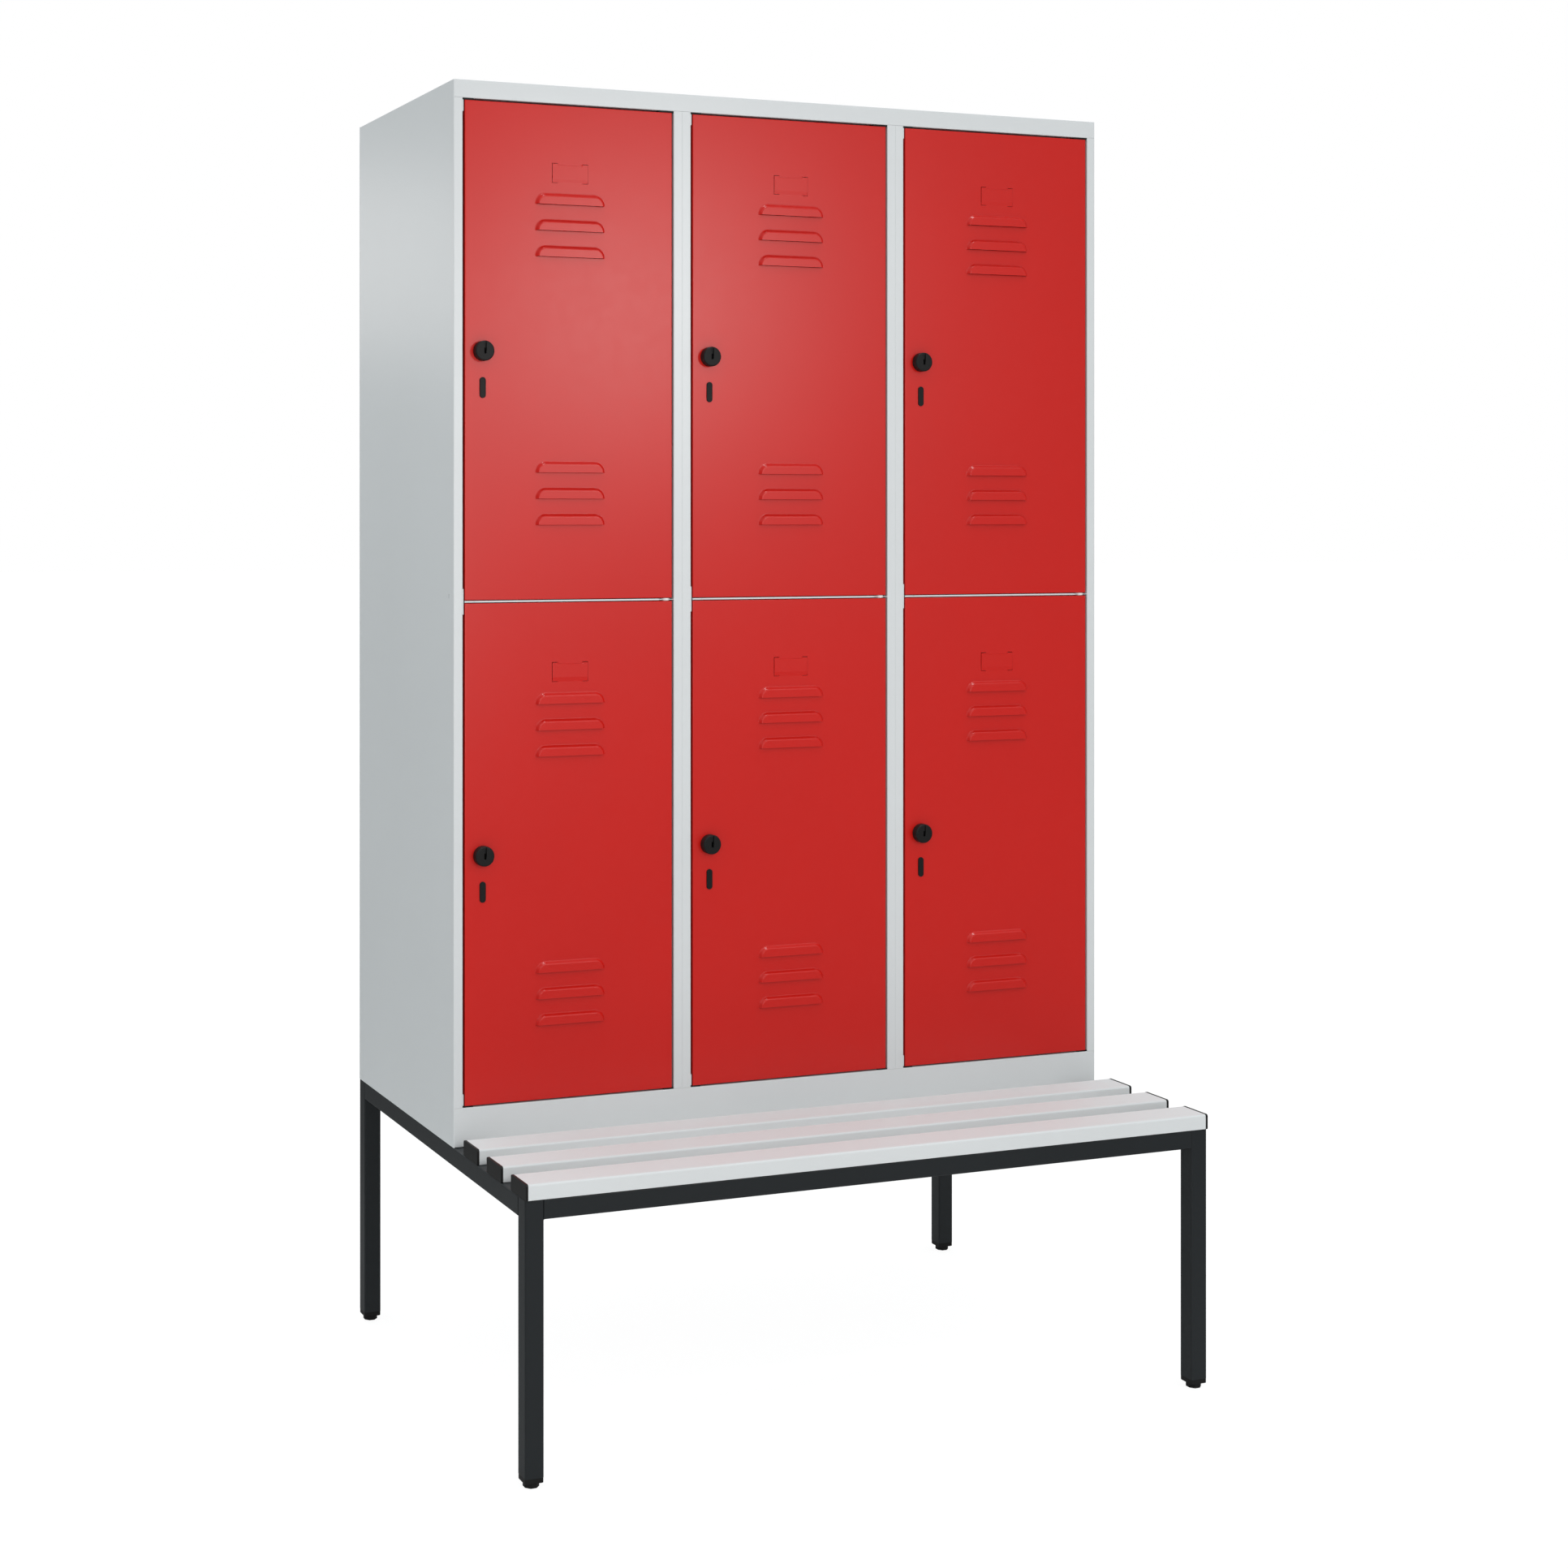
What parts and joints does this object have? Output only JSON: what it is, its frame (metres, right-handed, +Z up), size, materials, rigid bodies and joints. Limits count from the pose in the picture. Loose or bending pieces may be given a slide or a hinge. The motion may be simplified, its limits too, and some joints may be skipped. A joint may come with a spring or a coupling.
{
  "type": "double-tier locker with bench",
  "caption": "Steel locker cabinet with two tiers of right-hung louvred doors, standing on a square-tube underframe that reaches forward as a slatted bench.",
  "frame": {"origin": "on the floor, under the middle of the object's box", "axes": "+Z up, doors and bench face -Y, +X to the right of someone facing the doors"},
  "size_m": [1.2, 0.815, 2.1253],
  "materials": {
    "grey_paint": "light grey powder coat, satin",
    "red_paint": "red powder coat, satin",
    "frame_paint": "anthracite powder coat, satin",
    "slat_plastic": "light grey extruded plastic",
    "black_plastic": "black moulded plastic",
    "zinc_steel": "zinc plated, semi-bright"
  },
  "bodies": {
    "carcase": {"left_side_panel": "grey_paint", "right_side_panel": "grey_paint", "top_panel": "grey_paint", "bottom_panel": "grey_paint", "back_panel": "grey_paint", "partition_1": "grey_paint", "partition_2": "grey_paint", "middle_shelf_1": "grey_paint", "middle_shelf_2": "grey_paint", "middle_shelf_3": "grey_paint", "leg_front_left": "frame_paint", "leg_front_right": "frame_paint", "leg_back_left": "frame_paint", "leg_back_right": "frame_paint", "front_rail": "frame_paint", "cross_rail": "frame_paint", "back_rail": "frame_paint", "left_rail": "frame_paint", "right_rail": "frame_paint", "bench_slat_1": "slat_plastic", "bench_slat_2": "slat_plastic", "bench_slat_3": "slat_plastic", "slat_cap_1_left": "black_plastic", "slat_cap_1_right": "black_plastic", "slat_cap_2_left": "black_plastic", "slat_cap_2_right": "black_plastic", "slat_cap_3_left": "black_plastic", "slat_cap_3_right": "black_plastic", "leg_insert_front_left": "black_plastic", "leg_insert_front_right": "black_plastic", "leg_insert_back_left": "black_plastic", "leg_insert_back_right": "black_plastic", "coat_rail_lower_1": "zinc_steel", "coat_rail_lower_2": "zinc_steel", "coat_rail_lower_3": "zinc_steel", "coat_rail_upper_1": "zinc_steel", "coat_rail_upper_2": "zinc_steel", "coat_rail_upper_3": "zinc_steel"},
    "leaf_lower_1": {"door_lower_1": "red_paint", "blanking_plug_lower_1": "black_plastic"},
    "lock_lower_1": {"turn_lock_lower_1": "black_plastic"},
    "leaf_lower_2": {"door_lower_2": "red_paint", "blanking_plug_lower_2": "black_plastic"},
    "lock_lower_2": {"turn_lock_lower_2": "black_plastic"},
    "leaf_lower_3": {"door_lower_3": "red_paint", "blanking_plug_lower_3": "black_plastic"},
    "lock_lower_3": {"turn_lock_lower_3": "black_plastic"},
    "leaf_upper_1": {"door_upper_1": "red_paint", "blanking_plug_upper_1": "black_plastic"},
    "lock_upper_1": {"turn_lock_upper_1": "black_plastic"},
    "leaf_upper_2": {"door_upper_2": "red_paint", "blanking_plug_upper_2": "black_plastic"},
    "lock_upper_2": {"turn_lock_upper_2": "black_plastic"},
    "leaf_upper_3": {"door_upper_3": "red_paint", "blanking_plug_upper_3": "black_plastic"},
    "lock_upper_3": {"turn_lock_upper_3": "black_plastic"},
    "foot_front_left": {"glide_front_left": "black_plastic"},
    "foot_front_right": {"glide_front_right": "black_plastic"},
    "foot_back_left": {"glide_back_left": "black_plastic"},
    "foot_back_right": {"glide_back_right": "black_plastic"}
  },
  "joints": [
    {"name": "door_hinge_lower_1", "type": "hinge", "parent": "carcase", "child": "leaf_lower_1", "pos_m": [-0.228, -0.0845, 0.8905], "axis": [0, 0, 1], "range_deg": [0, 110]},
    {"name": "lock_turn_lower_1", "type": "hinge", "parent": "leaf_lower_1", "child": "lock_lower_1", "pos_m": [-0.551, -0.0925, 0.8878], "axis": [0, 1, 0], "range_deg": [0, 90]},
    {"name": "door_hinge_lower_2", "type": "hinge", "parent": "carcase", "child": "leaf_lower_2", "pos_m": [0.172, -0.0845, 0.8905], "axis": [0, 0, 1], "range_deg": [0, 110]},
    {"name": "lock_turn_lower_2", "type": "hinge", "parent": "leaf_lower_2", "child": "lock_lower_2", "pos_m": [-0.151, -0.0925, 0.8878], "axis": [0, 1, 0], "range_deg": [0, 90]},
    {"name": "door_hinge_lower_3", "type": "hinge", "parent": "carcase", "child": "leaf_lower_3", "pos_m": [0.572, -0.0845, 0.8905], "axis": [0, 0, 1], "range_deg": [0, 110]},
    {"name": "lock_turn_lower_3", "type": "hinge", "parent": "leaf_lower_3", "child": "lock_lower_3", "pos_m": [0.249, -0.0925, 0.8878], "axis": [0, 1, 0], "range_deg": [0, 90]},
    {"name": "door_hinge_upper_1", "type": "hinge", "parent": "carcase", "child": "leaf_upper_1", "pos_m": [-0.228, -0.0845, 1.6945], "axis": [0, 0, 1], "range_deg": [0, 110]},
    {"name": "lock_turn_upper_1", "type": "hinge", "parent": "leaf_upper_1", "child": "lock_upper_1", "pos_m": [-0.551, -0.0925, 1.6934], "axis": [0, 1, 0], "range_deg": [0, 90]},
    {"name": "door_hinge_upper_2", "type": "hinge", "parent": "carcase", "child": "leaf_upper_2", "pos_m": [0.172, -0.0845, 1.6945], "axis": [0, 0, 1], "range_deg": [0, 110]},
    {"name": "lock_turn_upper_2", "type": "hinge", "parent": "leaf_upper_2", "child": "lock_upper_2", "pos_m": [-0.151, -0.0925, 1.6934], "axis": [0, 1, 0], "range_deg": [0, 90]},
    {"name": "door_hinge_upper_3", "type": "hinge", "parent": "carcase", "child": "leaf_upper_3", "pos_m": [0.572, -0.0845, 1.6945], "axis": [0, 0, 1], "range_deg": [0, 110]},
    {"name": "lock_turn_upper_3", "type": "hinge", "parent": "leaf_upper_3", "child": "lock_upper_3", "pos_m": [0.249, -0.0925, 1.6934], "axis": [0, 1, 0], "range_deg": [0, 90]},
    {"name": "levelling_front_left", "type": "slide", "parent": "carcase", "child": "foot_front_left", "axis": [0, 0, -1], "range_m": [0, 0.01]},
    {"name": "levelling_front_right", "type": "slide", "parent": "carcase", "child": "foot_front_right", "axis": [0, 0, -1], "range_m": [0, 0.01]},
    {"name": "levelling_back_left", "type": "slide", "parent": "carcase", "child": "foot_back_left", "axis": [0, 0, -1], "range_m": [0, 0.01]},
    {"name": "levelling_back_right", "type": "slide", "parent": "carcase", "child": "foot_back_right", "axis": [0, 0, -1], "range_m": [0, 0.01]}
  ]
}
